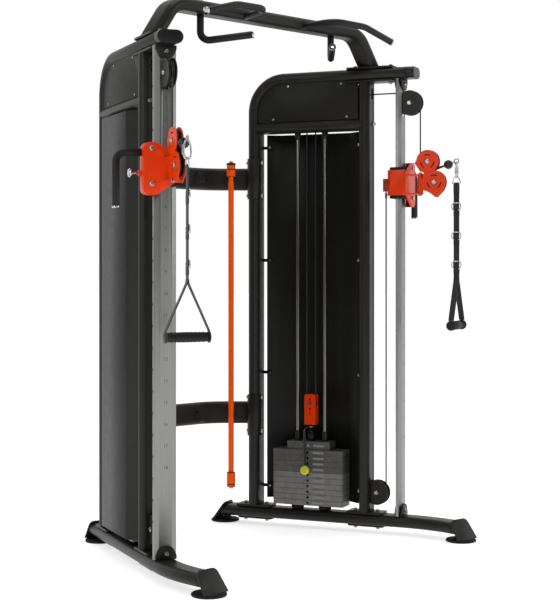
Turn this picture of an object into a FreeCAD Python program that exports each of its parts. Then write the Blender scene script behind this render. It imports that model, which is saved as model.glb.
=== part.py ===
import FreeCAD, Part
import Sketcher
import math
import os

# Dual cable functional trainer, millimetres, +Z up.
# The front faces -Y, the machine's right is +X, and the machine is symmetric about X = 0.
# Each tower is drawn in its own frame: u runs forward along the tower, v runs outward, z is up.

V = FreeCAD.Vector
os.makedirs("parts", exist_ok=True)
doc = FreeCAD.newDocument("functional_trainer")
sheet = doc.addObject("Spreadsheet::Sheet", "dims")
D = {}


def cell(alias, value):
    row = len(D) + 1
    sheet.set("A%d" % row, alias)
    sheet.set("B%d" % row, str(value))
    sheet.setAlias("B%d" % row, alias)
    D[alias] = float(value)


for alias, value in [
    # plan of the machine
    ("splay", 21.77), ("rear_half", 358.9), ("plan_back", 537.6),
    # flat-oval frame tube
    ("tube_wide", 100), ("tube_thin", 50), ("tube_wall", 3), ("plate_thick", 8),
    ("base_low", 30.5), ("base_straight", 850), ("base_turn", 25), ("base_radius", 600),
    ("rear_pos", 156), ("front_pos", 685), ("top_mid", 1996), ("top_bend", 145), ("top_end", 874), ("cap_long", 40),
    # feet
    ("foot_radius", 64), ("foot_thick", 12),
    # cross member and panels
    ("cross_mid", 1781), ("panel_thick", 2.5), ("panel_pos", 37),
    # adjustable column
    ("column_pos", 843.6), ("column_thin", 21.6), ("column_wide", 88), ("column_wall", 3), ("hole_pitch", 80), ("hole_first", 1499), ("hole_radius", 5.2),
    # shroud
    ("shroud_low", 113), ("shroud_high", 1754), ("shroud_wall", 2),
    # weight stack
    ("stack_pos", 425), ("stack_mid", -3.1), ("weight_long", 330), ("weight_wide", 95), ("weight_thick", 24.6), ("stack_low", 102),
    ("rod_radius", 8.5), ("rod_pitch", 130), ("bush_gap", 0.1), ("head_long", 203), ("head_thick", 36), ("stem_radius", 11),
    ("pin_radius", 5), ("pin_knob", 20), ("bumper_radius", 28),
    # pulleys and cable
    ("pulley_radius", 50), ("pulley_groove", 45), ("pulley_wide", 20), ("axle_radius", 6), ("cable_radius", 3),
    ("swivel_radius", 44), ("swivel_groove", 35), ("lobe_radius", 50), ("lobe_thick", 4),
    ("block_pulley_radius", 25), ("block_groove", 21),
    # bars and grips
    ("bar_radius", 13.5), ("grip_radius", 14), ("staff_radius", 12.5), ("collar_radius", 19.5), ("handgrip_radius", 17), ("handgrip_long", 156),
    ("bolt_radius", 9.5), ("bolt_height", 10),
]:
    cell(alias, value)
doc.recompute()

ANG = math.radians(D["splay"])
TOWER = FreeCAD.Placement(V(D["rear_half"], D["plan_back"], 0), FreeCAD.Rotation(V(0, 0, 1), -(90 - D["splay"])))
nodes = {}
counter = [0]


def bind(obj, prop, value):
    """Bind a property to the sheet when the value is an expression, or set it when it is a number."""
    if isinstance(value, str):
        obj.setExpression(prop, value)
    else:
        setattr(obj, prop, value)


def turned(axis):
    return FreeCAD.Rotation(V(0, 0, 1), {"u": V(1, 0, 0), "v": V(0, 1, 0), "z": V(0, 0, 1)}[axis])


def fresh(kind):
    counter[0] += 1
    return "%s_%03d" % (kind, counter[0])


def box(lo, hi, ex=(None, None, None)):
    o = doc.addObject("Part::Box", fresh("box"))
    for prop, a, b, e in zip(("Length", "Width", "Height"), lo, hi, ex):
        bind(o, prop, e if e else b - a)
    o.Placement = FreeCAD.Placement(V(*lo), FreeCAD.Rotation())
    return o


def cyl(radius, height, at, axis="z"):
    o = doc.addObject("Part::Cylinder", fresh("cyl"))
    bind(o, "Radius", radius)
    bind(o, "Height", height)
    o.Placement = FreeCAD.Placement(V(*at), turned(axis))
    return o


def fuse(items):
    o = doc.addObject("Part::MultiFuse", fresh("fuse"))
    o.Shapes = items
    return o


def cut(base, tools):
    o = doc.addObject("Part::Cut", fresh("cut"))
    o.Base = base
    o.Tool = tools[0] if len(tools) == 1 else compound(tools)
    return o


def compound(items):
    o = doc.addObject("Part::Compound", fresh("group"))
    o.Links = items
    return o


def feature(shape):
    o = doc.addObject("Part::Feature", fresh("shape"))
    o.Shape = shape
    return o


def new_sketch(body, role="XY_Plane"):
    plane = [f for f in body.Origin.OriginFeatures if f.Role == role][0]
    s = body.newObject("Sketcher::SketchObject", fresh("sketch"))
    s.AttachmentSupport = [(plane, "")]
    s.MapMode = "FlatFace"
    return s


def constrain(s, kind, args, value=None, expr=None):
    if value is None:
        s.addConstraint(Sketcher.Constraint(kind, *args))
        return
    i = s.addConstraint(Sketcher.Constraint(kind, *args, value))
    if expr:
        s.setExpression("Constraints[%d]" % i, expr)


def add_slot(s, wide, thin, wide_e, thin_e):
    """A flat oval, long along the sketch's Y, centred on its origin."""
    r, a = thin / 2.0, wide / 2.0 - thin / 2.0
    n = s.GeometryCount
    s.addGeometry(Part.LineSegment(V(r, -a, 0), V(r, a, 0)))
    s.addGeometry(Part.ArcOfCircle(Part.Circle(V(0, a, 0), V(0, 0, 1), r), 0, math.pi))
    s.addGeometry(Part.LineSegment(V(-r, a, 0), V(-r, -a, 0)))
    s.addGeometry(Part.ArcOfCircle(Part.Circle(V(0, -a, 0), V(0, 0, 1), r), math.pi, 2 * math.pi))
    for i in range(4):
        constrain(s, "Tangent", (n + i, 2, n + (i + 1) % 4, 1))
    constrain(s, "Vertical", (n,))
    constrain(s, "Symmetric", (n + 1, 3, n + 3, 3, -1, 1))
    constrain(s, "Radius", (n + 1,), r, thin_e)
    constrain(s, "DistanceY", (n, 1, n, 2), 2 * a, wide_e)


def add_rect(s, sx, sy, ex=None, ey=None):
    n = s.GeometryCount
    p = [V(-sx / 2, -sy / 2, 0), V(sx / 2, -sy / 2, 0), V(sx / 2, sy / 2, 0), V(-sx / 2, sy / 2, 0)]
    for i in range(4):
        s.addGeometry(Part.LineSegment(p[i], p[(i + 1) % 4]))
    for i in range(4):
        constrain(s, "Coincident", (n + i, 2, n + (i + 1) % 4, 1))
    constrain(s, "Horizontal", (n,))
    constrain(s, "Horizontal", (n + 2,))
    constrain(s, "Vertical", (n + 1,))
    constrain(s, "Vertical", (n + 3,))
    constrain(s, "Symmetric", (n, 1, n + 2, 1, -1, 1))
    constrain(s, "DistanceX", (n, 1, n, 2), sx, ex)
    constrain(s, "DistanceY", (n + 1, 1, n + 1, 2), sy, ey)


def corner_arc(p1, mid, p2):
    """The arc from p1 through mid to p2, as a sketch arc."""
    return Part.Arc(p1, mid, p2)


def edges_of(points):
    """Straight edges with a tangent arc at each corner that names a radius."""
    n = len(points)
    corners = []
    for i in range(n):
        p = V(points[i][0], points[i][1], 0)
        r = points[i][2] if len(points[i]) > 2 else 0
        a = V(points[i - 1][0], points[i - 1][1], 0)
        b = V(points[(i + 1) % n][0], points[(i + 1) % n][1], 0)
        if not r:
            corners.append((p, p, None))
            continue
        da, db = (a - p).normalize(), (b - p).normalize()
        half = da.getAngle(db) / 2
        t = r / math.tan(half)
        p1, p2 = p + da * t, p + db * t
        mid = p + (da + db).normalize() * (r / math.sin(half) - r)
        corners.append((p1, p2, mid))
    out = []
    for i in range(n):
        p1, p2, mid = corners[i]
        if mid:
            out.append(corner_arc(p1, mid, p2))
        q = corners[(i + 1) % n][0]
        if (q - p2).Length > 1e-6:
            out.append(Part.LineSegment(p2, q))
    return out


def pad(outlines, length, at=(0, 0, 0), rot=None, slot=None, rect=None, holes=()):
    """A PartDesign body: one closed profile, with inner profiles as holes, padded along its own Z."""
    b = doc.addObject("PartDesign::Body", fresh("body"))
    s = new_sketch(b)
    for item in slot or ():
        add_slot(s, *item)
    for item in rect or ():
        add_rect(s, *item)
    for points in outlines:
        n = s.GeometryCount
        e = edges_of(points)
        for g in e:
            s.addGeometry(g)
        for i in range(len(e)):
            g1, g2 = s.Geometry[n + i], s.Geometry[n + (i + 1) % len(e)]
            for pa, qa in ((1, g1.StartPoint), (2, g1.EndPoint)):
                for pb, qb in ((1, g2.StartPoint), (2, g2.EndPoint)):
                    if (qa - qb).Length < 1e-6:
                        constrain(s, "Coincident", (n + i, pa, n + (i + 1) % len(e), pb))
    for x, y, r, e in holes:
        i = s.addGeometry(Part.Circle(V(x, y, 0), V(0, 0, 1), r))
        constrain(s, "Radius", (i,), r, e)
    p = b.newObject("PartDesign::Pad", fresh("pad"))
    p.Profile = s
    bind(p, "Length", length)
    b.Placement = FreeCAD.Placement(V(*at), rot or FreeCAD.Rotation())
    return b


def turn(points, at, axis="z"):
    """A PartDesign body: a profile of (radius, height) points revolved about its own Z."""
    b = doc.addObject("PartDesign::Body", fresh("body"))
    s = new_sketch(b, "XZ_Plane")
    for g in edges_of(points):
        s.addGeometry(g)
    r = b.newObject("PartDesign::Revolution", fresh("turn"))
    r.Profile = s
    r.ReferenceAxis = (s, ["V_Axis"])
    r.Angle = 360
    b.Placement = FreeCAD.Placement(V(*at), turned(axis))
    return b


def path_wire(points, radii):
    """Straight runs joined by tangent arcs, through 3-D points, one radius per inner point."""
    pts = [V(*p) for p in points]
    edges, last = [], pts[0]
    for i in range(1, len(pts) - 1):
        da, db = (pts[i - 1] - pts[i]).normalize(), (pts[i + 1] - pts[i]).normalize()
        half = da.getAngle(db) / 2
        r = radii if not isinstance(radii, (list, tuple)) else radii[i - 1]
        t = r / math.tan(half)
        p1, p2 = pts[i] + da * t, pts[i] + db * t
        mid = pts[i] + (da + db).normalize() * (r / math.sin(half) - r)
        if (p1 - last).Length > 1e-6:
            edges.append(Part.LineSegment(last, p1).toShape())
        edges.append(Part.Arc(p1, mid, p2).toShape())
        last = p2
    edges.append(Part.LineSegment(last, pts[-1]).toShape())
    return Part.Wire(edges)


def round_sweep(points, radii, r):
    w = path_wire(points, radii)
    d = (V(*points[1]) - V(*points[0])).normalize()
    prof = Part.Wire([Part.makeCircle(r, V(*points[0]), d)])
    s = w.makePipeShell([prof], True, False)
    expect = math.pi * r * r * w.Length
    if abs(s.Volume - expect) > 0.02 * expect:
        raise RuntimeError("sweep volume %.0f is not %.0f" % (s.Volume, expect))
    return s


def flat_wire(at, along, wide_dir, wide, thin):
    """Flat-oval wire at a point, square to a direction; wide_dir is the direction of its long side."""
    w = V(*wide_dir).normalize()
    t = V(*along).normalize().cross(w).normalize()
    c, r, a = V(*at), thin / 2.0, wide / 2.0 - thin / 2.0
    p = [c + w * a + t * r, c - w * a + t * r, c - w * a - t * r, c + w * a - t * r]
    return Part.Wire([
        Part.LineSegment(p[0], p[1]).toShape(), Part.Arc(p[1], c - w * (a + r), p[2]).toShape(),
        Part.LineSegment(p[2], p[3]).toShape(), Part.Arc(p[3], c + w * (a + r), p[0]).toShape()])


def flat_sweep(points, radii, wide_dir, hollow=True):
    w = path_wire(points, radii)
    d = V(*points[1]) - V(*points[0])
    outer = w.makePipeShell([flat_wire(points[0], d, wide_dir, D["tube_wide"], D["tube_thin"])], True, False)
    if not hollow:
        return outer
    k = 2 * D["tube_wall"]
    inner = w.makePipeShell([flat_wire(points[0], d, wide_dir, D["tube_wide"] - k, D["tube_thin"] - k)], True, False)
    return outer.cut(inner)


def slab(lo, hi):
    return Part.makeBox(hi[0] - lo[0], hi[1] - lo[1], hi[2] - lo[2], V(*lo))


def to_tower(obj):
    obj.Placement = TOWER.multiply(obj.Placement)
    return obj


def flip(obj):
    m = doc.addObject("Part::Mirroring", fresh("mirror"))
    m.Source = obj
    m.Normal = V(1, 0, 0)
    m.Base = V(0, 0, 0)
    return m


def per_side(name, obj):
    """A piece of the right tower and its mirror image, as two nodes."""
    to_tower(obj)
    other = flip(obj)
    obj.Label, other.Label = name + "_right", name + "_left"
    nodes[obj.Label], nodes[other.Label] = obj, other


def both(name, obj, tower=True):
    """Both sides' pieces as one node of separate solids."""
    if tower:
        to_tower(obj)
    o = compound([obj, flip(obj)])
    o.Label = name
    nodes[name] = o


def single(name, obj):
    obj.Label = name
    nodes[name] = obj


def plan(x, f, z):
    """A point given by its distance to the right, its distance forward of the rear feet, and its height."""
    return (x, D["plan_back"] - f, z)


TW, TT = D["tube_wide"], D["tube_thin"]
BLO = D["base_low"]
BHI = BLO + TT
PT = D["plate_thick"]
RU, FU, CU = D["rear_pos"], D["front_pos"], D["column_pos"]
TOPLO, TOPHI = D["top_mid"] - TT / 2, D["top_mid"] + TT / 2
SLOT_OUT = (TW, TT, "dims.tube_wide - dims.tube_thin", "dims.tube_thin / 2")
SLOT_IN = (TW - 6, TT - 6, "dims.tube_wide - dims.tube_thin", "dims.tube_thin / 2 - dims.tube_wall")

# ---------------------------------------------------------------- base tubes, feet
# The front end plate's frame: origin at the end of the tube's curve, x along the tube there.
bt = math.radians(D["base_turn"])
R0 = D["base_radius"]
bend_end = V(D["base_straight"] + R0 * math.sin(bt), -R0 * (1 - math.cos(bt)), 0)
mid_z = BLO + TT / 2


def base_path():
    a = V(-60, 0, mid_z)
    b = V(D["base_straight"], 0, mid_z)
    m = V(D["base_straight"] + R0 * math.sin(bt / 2), -R0 * (1 - math.cos(bt / 2)), mid_z)
    c = V(bend_end.x, bend_end.y, mid_z)
    e = c + V(math.cos(bt), -math.sin(bt), 0) * 90
    return Part.Wire([Part.LineSegment(a, b).toShape(), Part.Arc(b, m, c).toShape(), Part.LineSegment(c, e).toShape()])


lean = math.degrees(math.atan2(48.0, 70.0))
REAR_END = FreeCAD.Placement(V(18, 0, 82), FreeCAD.Rotation())
FRONT_C = V(1131, -67, 0)
FRONT_ROT = FreeCAD.Rotation(V(0, 0, 1), 180 - D["base_turn"])
FRONT_END = FreeCAD.Placement(V(FRONT_C.x, FRONT_C.y, 0), FRONT_ROT).multiply(REAR_END)


def beyond(place):
    """The half space past an end plate's inner face: the plate leans back by lean degrees from its top edge."""
    b = Part.makeBox(400, 600, 600, V(-400, -300, -400))
    b.rotate(V(0, 0, 0), V(0, 1, 0), lean)
    b.Placement = place.multiply(b.Placement)
    return b


w = base_path()
outer = w.makePipeShell([flat_wire((-60, 0, mid_z), (1, 0, 0), (0, 1, 0), TW, TT)], True, False)
inner = w.makePipeShell([flat_wire((-60, 0, mid_z), (1, 0, 0), (0, 1, 0), TW - 6, TT - 6)], True, False)
base = outer.cut(inner).cut(beyond(REAR_END)).cut(beyond(FRONT_END))
both("base_tubes", feature(base))

foot_items = []
for place in (FreeCAD.Placement(), FreeCAD.Placement(FRONT_C, FRONT_ROT)):
    # arched plate that closes the end of the tube and stands on the pad
    body = pad([[(-60, -100), (60, -100), (52, -18, 20), (46, 6, 22), (-46, 6, 22), (-52, -18, 20)]], "dims.plate_thick")
    body.Placement = place.multiply(REAR_END).multiply(FreeCAD.Placement(V(0, 0, 0), FreeCAD.Rotation(V(0, 1, 0), lean))).multiply(
        FreeCAD.Placement(V(-PT, 0, 0), FreeCAD.Rotation(V(0, 1, 0), V(0, 0, 1), V(1, 0, 0), "ZXY")))
    low = box((-400, -400, -300), (400, 400, D["foot_thick"]))
    low.Placement = place.multiply(low.Placement)
    foot_items.append(cut(body, [low]))
    boss = cyl(16, BLO - D["foot_thick"], (12, 0, D["foot_thick"]))
    boss.Placement = place.multiply(boss.Placement)
    foot_items.append(boss)
both("foot_end_plates", compound(foot_items))

pads = []
for c in (V(0, 0, 0), FRONT_C):
    r, t = D["foot_radius"], D["foot_thick"]
    pads.append(turn([(0, 0), (r - 3, 0), (r, 3), (r, t - 4), (r - 5, t), (0, t)], (c.x, c.y, 0)))
both("foot_pads", compound(pads))

# ---------------------------------------------------------------- uprights, top tube, cross member
rear = flat_sweep([(RU, 0, BHI + PT), (RU, 0, D["top_mid"]), (D["top_end"], 0, D["top_mid"])], D["top_bend"], (0, 1, 0))
both("rear_uprights", feature(rear))

up = pad([], TOPLO - PT - BHI - PT, (FU, 0, BHI + PT), slot=[SLOT_OUT, SLOT_IN])
slots = [box((FU - 40, -9, 1890), (FU + 40, 9, 1938)), box((FU, -11, 122), (FU + 40, 11, 224))]
both("front_uprights", cut(up, slots))

member = pad([], FU - RU, (RU, 0, D["cross_mid"]), FreeCAD.Rotation(V(1, 0, 0), V(0, 1, 0), V(0, 0, 1), "ZYX"), slot=[SLOT_OUT, SLOT_IN])
member.Placement = FreeCAD.Placement(V(RU, 0, D["cross_mid"]), FreeCAD.Rotation(V(0, 0, 1), V(1, 0, 0)))
cope_r = pad([], 200, (RU, 0, D["cross_mid"] - 100), slot=[SLOT_OUT])
cope_f = pad([], 200, (FU, 0, D["cross_mid"] - 100), slot=[SLOT_OUT])
both("tower_crossmembers", cut(member, [cope_r, cope_f]))

ztop = D["top_mid"] - 22
zbot = D["cross_mid"] + 22.5
flange_gap = TOPLO - PT - 1.5
outline = [(RU + 26, zbot), (FU - 26, zbot), (FU - 26, flange_gap), (601, flange_gap), (601, ztop), (RU + 26, ztop, 124)]
panels = []
for v0 in (-D["panel_pos"] - 2.5, D["panel_pos"]):
    b = pad([outline], "dims.panel_thick", (0, v0 + 2.5, 0), FreeCAD.Rotation(V(1, 0, 0), 90))
    panels.append(b)
both("side_panels", compound(panels))

capb = pad([], "dims.cap_long - 3", (D["top_end"], 0, D["top_mid"]), FreeCAD.Rotation(V(0, 0, 1), V(1, 0, 0)), slot=[(TW, TT, "dims.tube_wide - dims.tube_thin", "dims.tube_thin / 2")])
cape = pad([], 3, (D["top_end"] + D["cap_long"] - 3, 0, D["top_mid"]), FreeCAD.Rotation(V(0, 0, 1), V(1, 0, 0)), slot=[(TW - 5, TT - 5, "dims.tube_wide - dims.tube_thin", "dims.tube_thin / 2 - 2.5")])
both("top_tube_caps", fuse([capb, cape]))

# ---------------------------------------------------------------- flange plates at the foot and head of the uprights
plates = []


def flange(u0, u1, z0, hw=44):
    return pad([[(u0, -hw, 10), (u1, -hw, 10), (u1, hw, 10), (u0, hw, 10)]], "dims.plate_thick", (0, 0, z0))


for uc in (RU, FU):
    plates.append(flange(uc - 82, uc + 82, BHI))
    plates.append(flange(uc - 82, uc + 82, BLO - PT, 24))
plates.append(flange(603, 818, TOPHI))
plates.append(flange(603, 818, TOPLO - PT, 44))
both("flange_plates", compound(plates))

# ---------------------------------------------------------------- adjustable columns
c0, c1 = BHI, TOPLO - PT
cw, cd, ww = D["column_wide"], D["column_thin"], D["column_wall"]
UP, LP = (886, 0, 1866), (735, 0, 173)
# Its section is flat at the front for 50 mm, with a wide bevel down to each side.
PINU = CU - 4.4
col = pad([[(-cd / 2, -cw / 2, 1.5), (1.9, -cw / 2, 2), (cd / 2, -25, 4), (cd / 2, 25, 4), (1.9, cw / 2, 2), (-cd / 2, cw / 2, 1.5)],
           [(-cd / 2 + ww, -cw / 2 + ww), (0, -cw / 2 + ww), (cd / 2 - ww, -23.3), (cd / 2 - ww, 23.3), (0, cw / 2 - ww), (-cd / 2 + ww, cw / 2 - ww)]],
          TOPLO - BHI, (CU, 0, BHI))


def column_room(z0, z1):
    """The room for the column in what slides on it, 0.15 mm wider all round."""
    e = 0.15
    o = [(-cd / 2 - e, -cw / 2 - e), (2.0, -cw / 2 - e), (cd / 2 + e, -25.03), (cd / 2 + e, 25.03), (2.0, cw / 2 + e), (-cd / 2 - e, cw / 2 + e)]
    return pad([o], z1 - z0, (CU, 0, z0))



drills = []
k = -17
while k <= 4:
    z = D["hole_first"] + k * D["hole_pitch"]
    if 150 < z < 1900:
        drills.append(cyl("dims.hole_radius", 30, (PINU, cw / 2 - 15, z), "v"))
    k += 1
drills.append(box((CU - 40, -6, 1900), (CU, 6, 1922)))
drills.append(box((CU - 2, -11, UP[2] - 58), (CU + 40, 11, UP[2] + 56)))
both("adjust_columns", cut(col, drills))

brackets = []
for sgn, ux in ((1, CU + cd / 2), (-1, CU - cd / 2 - 6)):
    hw = 41
    rot = FreeCAD.Rotation(V(0, 1, 0), V(0, 0, 1), V(1, 0, 0), "ZXY")
    brackets.append(pad([[(-hw, 0), (hw, 0), (hw, 14), (25, 48, 24), (-25, 48, 24), (-hw, 14)]], 6, (ux, 0, BHI), rot))
    brackets.append(pad([[(-hw, 0), (-hw, -14), (-25, -48, 24), (25, -48, 24), (hw, -14), (hw, 0)]], 6, (ux, 0, TOPLO), rot))
both("column_brackets", compound(brackets))

# ---------------------------------------------------------------- shroud with its fixing tabs
sw = D["shroud_wall"]
profile = [(193, 34.5), (254, 68.3), (582, 68.3), (629, 34.5), (650, 34.5), (650, 34.5 - sw), (628.4, 34.5 - sw), (581.4, 68.3 - sw), (254.6, 68.3 - sw), (194.2, 34.5 - sw)]
shroud = pad([profile], "dims.shroud_high - dims.shroud_low", (0, 0, D["shroud_low"]))
tabs = []
for z in (1696, 1187, 680, 168.5):
    tabs.append(box((RU + 22, 30.5, z - 7), (RU + 62, 32.5, z + 7)))
    tabs.append(box((FU - 60, 30.5, z - 7), (FU - 22, 32.5, z + 7)))
    tabs.append(cyl(6, 3, (RU + 52, 27.5, z), "v"))
    tabs.append(cyl(6, 3, (FU - 48, 27.5, z), "v"))
cope_r2 = pad([], 1900, (RU, 0, BHI + PT), slot=[SLOT_OUT])
cope_f2 = pad([], 1900, (FU, 0, BHI + PT), slot=[SLOT_OUT])
tabset = cut(compound(tabs), [cope_r2, cope_f2])
both("shrouds", compound([shroud, tabset]))

# ---------------------------------------------------------------- weight stack
SU, SV = D["stack_pos"], D["stack_mid"]
WT, WL = D["weight_thick"], D["stack_low"]
rods = []
for du in (-65, 65):
    rods.append(cyl("dims.rod_radius", D["cross_mid"] - 25 - 30 - BHI, (SU + du, SV, BHI)))
    rods.append(turn([(0, 0), (13, 0), (14, 1.5), (14, 30), (0, 30)], (SU + du, SV, D["cross_mid"] - 25 - 30)))
both("guide_rods", compound(rods))
bump = []
for du in (-65, 65):
    r = D["bumper_radius"]
    bump.append(turn([(8.5, 0), (r - 4, 0), (r, 4), (r, WL - BHI - 4), (r - 4, WL - BHI), (8.5, WL - BHI)], (SU + du, SV, BHI)))
both("stack_bumpers", compound(bump))


def weight_plate(i, extra=()):
    z = WL + i * WT
    L, Wd = D["weight_long"], D["weight_wide"]
    b = pad([[(-L / 2, -Wd / 2, 5), (L / 2, -Wd / 2, 5), (L / 2, Wd / 2, 5), (-L / 2, Wd / 2, 5)]], "dims.weight_thick", (SU, SV, z),
            holes=[(-65, 0, 8.6, "dims.rod_radius + dims.bush_gap"), (65, 0, 8.6, "dims.rod_radius + dims.bush_gap"), (0, 0, 11.5, "dims.stem_radius + 0.5")])
    hole = cyl("dims.pin_radius + 0.1", 45, (SU, SV - Wd / 2 - 1, z + WT / 2), "v")
    return cut(b, [hole])


both("lower_plates", compound([weight_plate(i) for i in range(6)]))
HZ = WL + 10 * WT
head = pad([[(-101.5, -40, 4), (101.5, -40, 4), (101.5, 40, 4), (-101.5, 40, 4)]], "dims.head_thick", (SU, SV, HZ),
           holes=[(-65, 0, 8.6, "dims.rod_radius + dims.bush_gap"), (65, 0, 8.6, "dims.rod_radius + dims.bush_gap"), (0, 0, 11, "dims.stem_radius")])
collars = [turn([(8.6, 0), (13.5, 0), (13.5, 41), (12, 43), (8.6, 43)], (SU + du, SV, HZ + 36)) for du in (-65, 65)]
per_side("lifted_plates", compound([weight_plate(i) for i in range(6, 10)] + [head] + collars))
stem = turn([(0, 0), (11, 0), (11, HZ + 36 - WL - 3), (17, HZ + 36 - WL - 3), (17, HZ + 76 - WL - 3), (15, HZ + 79 - WL - 3), (8, HZ + 79 - WL - 3),
             (8, HZ + 88 - WL - 3), (5, HZ + 90 - WL - 3), (5, 456 - WL - 3), (0, 456 - WL - 3)], (SU, SV, WL + 3))
per_side("selector_stem", cut(stem, [cyl("dims.pin_radius + 0.1", 60, (SU, SV - 30, WL + (i + 0.5) * WT), "v") for i in range(10)]))
# lifting block: two cheeks, a foot and a bolt that carries the block pulley
cheeks = []
for v0 in (SV - 18, SV + 13):
    b = pad([[(-26.5, 0, 4), (26.5, 0, 4), (26.5, 135, 8), (-26.5, 135, 8)]], 5, (SU, v0 + 5, 456), FreeCAD.Rotation(V(1, 0, 0), 90),
            holes=[(0, 112, 4.5, None), (0, 91.5, 6, "dims.axle_radius"), (0, 71, 4.5, None), (0, 52, 4.5, None)])
    cheeks.append(b)
cheeks.append(box((SU - 26.5, SV - 13, 456), (SU + 26.5, SV + 13, 464)))
cheeks.append(cyl("dims.axle_radius", 36, (SU, SV - 18, 547.5), "v"))
cheeks.append(cyl(9, 6, (SU, SV - 24, 547.5), "v"))
cheeks.append(cyl(9, 6, (SU, SV + 18, 547.5), "v"))
per_side("pulley_block", compound([fuse(cheeks[:3]), cheeks[3], cheeks[4], cheeks[5]]))


def sheave(at, radius, groove, wide, bore):
    h = wide / 2.0
    return turn([(bore, -h), (radius * 0.42, -h), (radius * 0.46, -h + 3), (radius - 9, -h + 3), (radius - 6, -h), (radius, -h), (radius, -h + 3), (groove, -3.6), (groove - 3.1, -2.4), (groove - 3.1, 2.4), (groove, 3.6),
                 (radius, h - 3), (radius, h), (radius - 6, h), (radius - 9, h - 3), (radius * 0.46, h - 3), (radius * 0.42, h), (bore, h)], at, "v")


AX = D["axle_radius"] + 0.08
per_side("block_pulley", sheave((SU, SV, 547.5), 25, 21, 18, AX))
pin_z = WL + 6.5 * WT
pin = turn([(0, 0), (4, 0), (5, 2), (5, 72), (9, 74), (9, 80), (19, 82), (20, 86), (19, 92), (14, 96), (0, 97)], (SU, SV + 9, pin_z), "v")
pin.Placement = FreeCAD.Placement(V(SU, SV + 9, pin_z), FreeCAD.Rotation(V(0, 0, 1), V(0, -1, 0)))
per_side("selector_pin", pin)

# ---------------------------------------------------------------- front pulleys and their brackets
pb = []
for c, face, rp in ((UP, CU + cd / 2, 54), (LP, FU + TT / 2, 54)):
    for v0 in (-17, 13):
        disc = cyl(rp, 4, (c[0], v0, c[2]), "v")
        pb.append(cut(disc, [box((c[0] - 90, -30, c[2] - 90), (face, 30, c[2] + 90)), cyl("dims.axle_radius", 60, (c[0], -30, c[2]), "v")]))
    pb.append(cyl("dims.axle_radius", 34, (c[0], -17, c[2]), "v"))
    pb.append(turn([(0, 0), (10, 0), (10, 4), (7, 7), (0, 7)], (c[0], 17, c[2]), "v"))
    low = turn([(0, -7), (7, -7), (10, -4), (10, 0), (0, 0)], (c[0], -17, c[2]), "v")
    pb.append(low)
both("pulley_brackets", compound(pb))
per_side("top_pulley", sheave(UP, 48, 45, 20, AX))
per_side("bottom_pulley", sheave(LP, 44, 40, 20, AX))

# ---------------------------------------------------------------- carriage
HINGE = 931
rotu = FreeCAD.Rotation(V(0, 1, 0), V(0, 0, 1), V(1, 0, 0), "ZXY")
shape = [(92, 1418, 24), (92, 1611, 24), (42, 1611, 36), (-52, 1556, 6), (-52, 1480, 6), (42, 1418, 36)]
inset = [(89, 1421, 21), (89, 1608, 21), (43, 1608, 33), (-100, 1556), (-100, 1480), (43, 1421, 33)]
front = pad([shape], 6, (872, 0, 0), rotu)
rim = cut(pad([shape], 38, (834, 0, 0), rotu), [pad([inset], 60, (820, 0, 0), rotu), box((800, -200, 1400), (880, 56, 1640))])
sleeve = pad([[(795, -38), (811, -54), (872, -54), (872, 54), (811, 54), (795, 38)]], 110, (0, 0, 1465))
bossp = cyl(11, 54, (PINU, 46, 1499), "v")
lugs = []
for z0 in (1470, 1551):
    lugs.append(pad([[(878, -14), (HINGE + 14, -14, 13.9), (HINGE + 14, 14, 13.9), (878, 14)]], 6, (0, 0, z0)))
anchor = box((765, -13, 1485), (806, 13, 1540))
orange = cut(fuse([front, rim, sleeve, bossp, anchor] + lugs),
             [column_room(1400, 1700), cyl(5.1, 140, (PINU, 20, 1499), "v"), cyl(6, 200, (HINGE, 0, 1400)), cyl(4, 30, (775, 0, 1470))])
hinge_pin = [cyl(6, 87, (HINGE, 0, 1470)), turn([(0, 0), (9, 0), (9, 4), (6, 7), (0, 7)], (HINGE, 0, 1557)), cyl(9, 7, (HINGE, 0, 1463))]
heads = [turn([(0, 0), (10, 0), (10, 3), (7, 6), (0, 6)], (878, 60, z), "u") for z in (1459, 1589)]
wheels = [cyl(15.5, 24, (848, 72, z), "u") for z in (1437.5, 1590)]
glides = []
for z0, z1 in ((1453, 1465), (1575, 1587)):
    g = pad([[(803, -34), (815, -50), (870, -50), (870, 50), (815, 50), (803, 34)]], z1 - z0, (0, 0, z0))
    glides.append(cut(g, [column_room(1400, 1700)]))
per_side("carriage", compound([orange] + hinge_pin + heads + wheels + glides))
hs = round_sweep([(CU, 92, 1575), (CU, 187, 1575), (CU, 187, 1377)], 38, 14)
per_side("carriage_handle", compound([feature(hs), turn([(0, 0), (12, 0), (14.6, 2), (14.6, 7), (0, 7)], (CU, 187, 1370))]))
per_side("pop_pin", turn([(0, 0), (3, 0), (5, 2), (5, 76.4), (7, 78.4), (7, 82.4), (14, 83.4), (16.5, 86.4), (16.5, 89.4), (13, 93.4), (6, 95.4), (0, 95.8)], (PINU, 44.6, 1499), "v"))

# ---------------------------------------------------------------- swivel with its two pulleys
SUP, SLP = (966, 0, 1610), (996, 0, 1521)


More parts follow.
